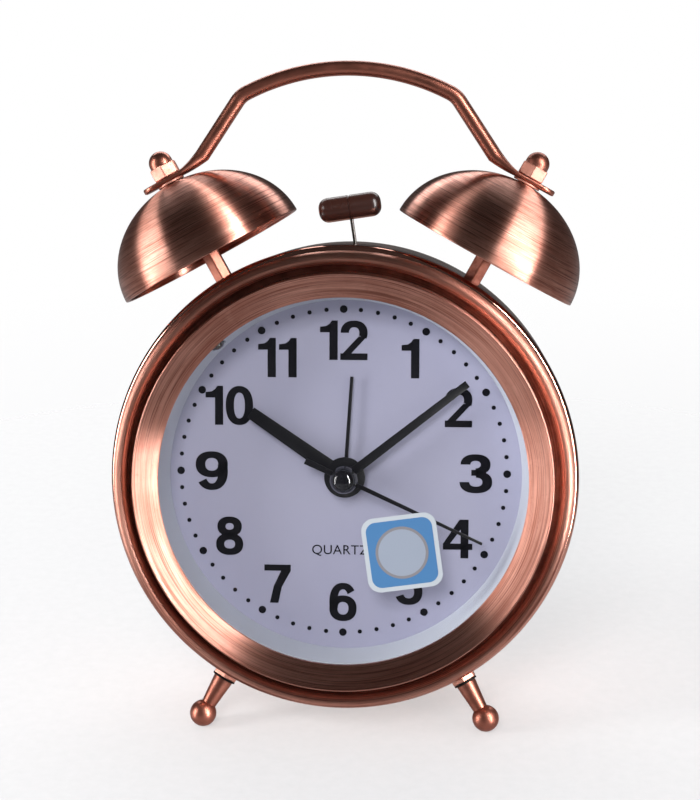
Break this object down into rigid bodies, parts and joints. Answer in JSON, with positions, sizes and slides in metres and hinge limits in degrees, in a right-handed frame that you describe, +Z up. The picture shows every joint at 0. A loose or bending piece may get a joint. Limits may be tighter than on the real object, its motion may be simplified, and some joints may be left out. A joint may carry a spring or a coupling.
{
  "type": "twin-bell alarm clock",
  "caption": "Twin-bell quartz alarm clock: round copper drum on ball feet, brushed bells on posts, arched carrying handle, swinging hammer, rear setting knobs.",
  "frame": {"origin": "centre of the bounding box at the level that the clock stands on", "axes": "+Z up, -Y the way the dial faces (the drum leans back 11.1 degrees), +X to the right of someone facing the dial"},
  "size_m": [0.118, 0.068, 0.1645],
  "materials": {
    "copper_polished": "antique copper plate, polished",
    "copper_brushed": "antique copper plate, brushed in circles",
    "copper_dark": "antique copper plate, dark",
    "clear_lens": "clear flat lens",
    "gasket_rubber": "black rubber",
    "white_plastic": "white moulded",
    "dial_print": "white lacquer with black print",
    "label": "printed film label",
    "lamp_resin": "clear resin",
    "black_plastic": "fine grained",
    "grey_plastic": "moulded",
    "steel": "plain",
    "brass": "plain",
    "cell_jacket": "printed jacket",
    "black_hand": "black lacquer",
    "black_gloss": "gloss black",
    "magnet": "sintered",
    "copper_winding": "enamelled wire",
    "board": "solder mask",
    "hammer_plastic": "dark brown moulded"
  },
  "bodies": {
    "case": {"acorn_nuts": "copper_dark", "battery_cell_lower": "cell_jacket", "battery_cell_upper": "cell_jacket", "battery_contacts": "steel", "battery_springs": "steel", "bell_left": "copper_brushed", "bell_post_left": "copper_dark", "bell_post_right": "copper_dark", "bell_right": "copper_brushed", "bell_washers": "gasket_rubber", "bezel": "copper_brushed", "case_barrel": "copper_polished", "case_pillars": "black_plastic", "circuit_board": "board", "coil_core": "steel", "dial": "dial_print", "dial_lamp": "lamp_resin", "dial_wall": "white_plastic", "drive_coil": "copper_winding", "foot_left": "copper_dark", "foot_nuts": "copper_dark", "foot_right": "copper_dark", "foot_washers": "gasket_rubber", "front_ring": "copper_polished", "hammer_bracket": "black_plastic", "hammer_coil": "copper_winding", "hammer_coil_core": "steel", "hammer_pivot_pin": "steel", "handle": "copper_dark", "lens": "clear_lens", "lens_gasket": "gasket_rubber", "lens_sticker": "label", "movement_front": "grey_plastic", "movement_rear": "grey_plastic", "movement_screws": "steel", "rear_cover": "black_plastic", "rear_cover_screws": "steel", "stator": "steel"},
    "second_hand": {"second_hand": "black_hand", "hand_cap": "black_gloss", "second_wheel": "white_plastic"},
    "transfer_wheel": {"transfer_wheel": "white_plastic"},
    "rotor": {"rotor": "magnet"},
    "minute_hand": {"minute_hand": "black_hand", "minute_arbor": "brass"},
    "time_set": {"minute_wheel": "white_plastic", "time_set_knob": "black_plastic"},
    "hour_hand": {"hour_hand": "black_hand", "hour_wheel": "white_plastic"},
    "alarm_hand": {"alarm_hand": "black_hand", "alarm_wheel": "white_plastic"},
    "alarm_set": {"alarm_set_arbor": "white_plastic", "alarm_set_knob": "black_plastic"},
    "hammer": {"hammer_head": "hammer_plastic", "hammer_stem": "steel", "hammer_hub": "black_plastic", "hammer_magnet": "magnet"},
    "alarm_switch": {"alarm_switch": "black_plastic"},
    "light_button": {"light_button": "black_plastic"},
    "battery_door": {"battery_door": "black_plastic"}
  },
  "joints": [
    {"name": "second_hand_turn", "type": "hinge", "parent": "case", "child": "second_hand", "pos_m": [0, -0.00047, 0.06142], "axis": [0, 0.9812, -0.1928], "continuous": true},
    {"name": "transfer_wheel_turn", "type": "hinge", "parent": "case", "child": "transfer_wheel", "pos_m": [0.00205, 0.00061, 0.06695], "axis": [0, 0.9812, -0.1928], "continuous": true},
    {"name": "rotor_turn", "type": "hinge", "parent": "case", "child": "rotor", "pos_m": [0.00205, 0.0016, 0.07195], "axis": [0, 0.9812, -0.1928], "continuous": true},
    {"name": "time_set_turn", "type": "hinge", "parent": "case", "child": "time_set", "pos_m": [-0.007, -0.00047, 0.06142], "axis": [0, 0.9812, -0.1928], "continuous": true},
    {"name": "minute_hand_turn", "type": "hinge", "parent": "case", "child": "minute_hand", "pos_m": [0, -0.00047, 0.06142], "axis": [0, 0.9812, -0.1928], "continuous": true},
    {"name": "hour_hand_turn", "type": "hinge", "parent": "case", "child": "hour_hand", "pos_m": [0, -0.00047, 0.06142], "axis": [0, 0.9812, -0.1928], "continuous": true},
    {"name": "alarm_set_turn", "type": "hinge", "parent": "case", "child": "alarm_set", "pos_m": [0.0144, -0.00047, 0.06142], "axis": [0, 0.9812, -0.1928], "continuous": true},
    {"name": "alarm_hand_turn", "type": "hinge", "parent": "case", "child": "alarm_hand", "pos_m": [0, -0.00047, 0.06142], "axis": [0, 0.9812, -0.1928], "continuous": true},
    {"name": "hammer_swing", "type": "hinge", "parent": "case", "child": "hammer", "pos_m": [0.0044, 0.00261, 0.10565], "axis": [0, 0.9812, -0.1928], "range_deg": [-14, 10.2]},
    {"name": "alarm_switch_slide", "type": "slide", "parent": "case", "child": "alarm_switch", "axis": [1, 0, 0], "range_m": [0, 0.004]},
    {"name": "light_button_press", "type": "slide", "parent": "case", "child": "light_button", "axis": [0, -0.9812, 0.1928], "range_m": [0, 0.0016], "stiffness_N_per_m": 300},
    {"name": "battery_door_lift", "type": "slide", "parent": "case", "child": "battery_door", "axis": [0, 0.9812, -0.1928], "range_m": [0, 0.03]}
  ],
  "couplings": [
    {"joint": "transfer_wheel_turn", "follows": "second_hand_turn", "ratio": -4},
    {"joint": "rotor_turn", "follows": "second_hand_turn", "ratio": 30},
    {"joint": "minute_hand_turn", "follows": "time_set_turn", "ratio": -3},
    {"joint": "hour_hand_turn", "follows": "time_set_turn", "ratio": -0.25},
    {"joint": "alarm_hand_turn", "follows": "alarm_set_turn", "ratio": -1}
  ]
}
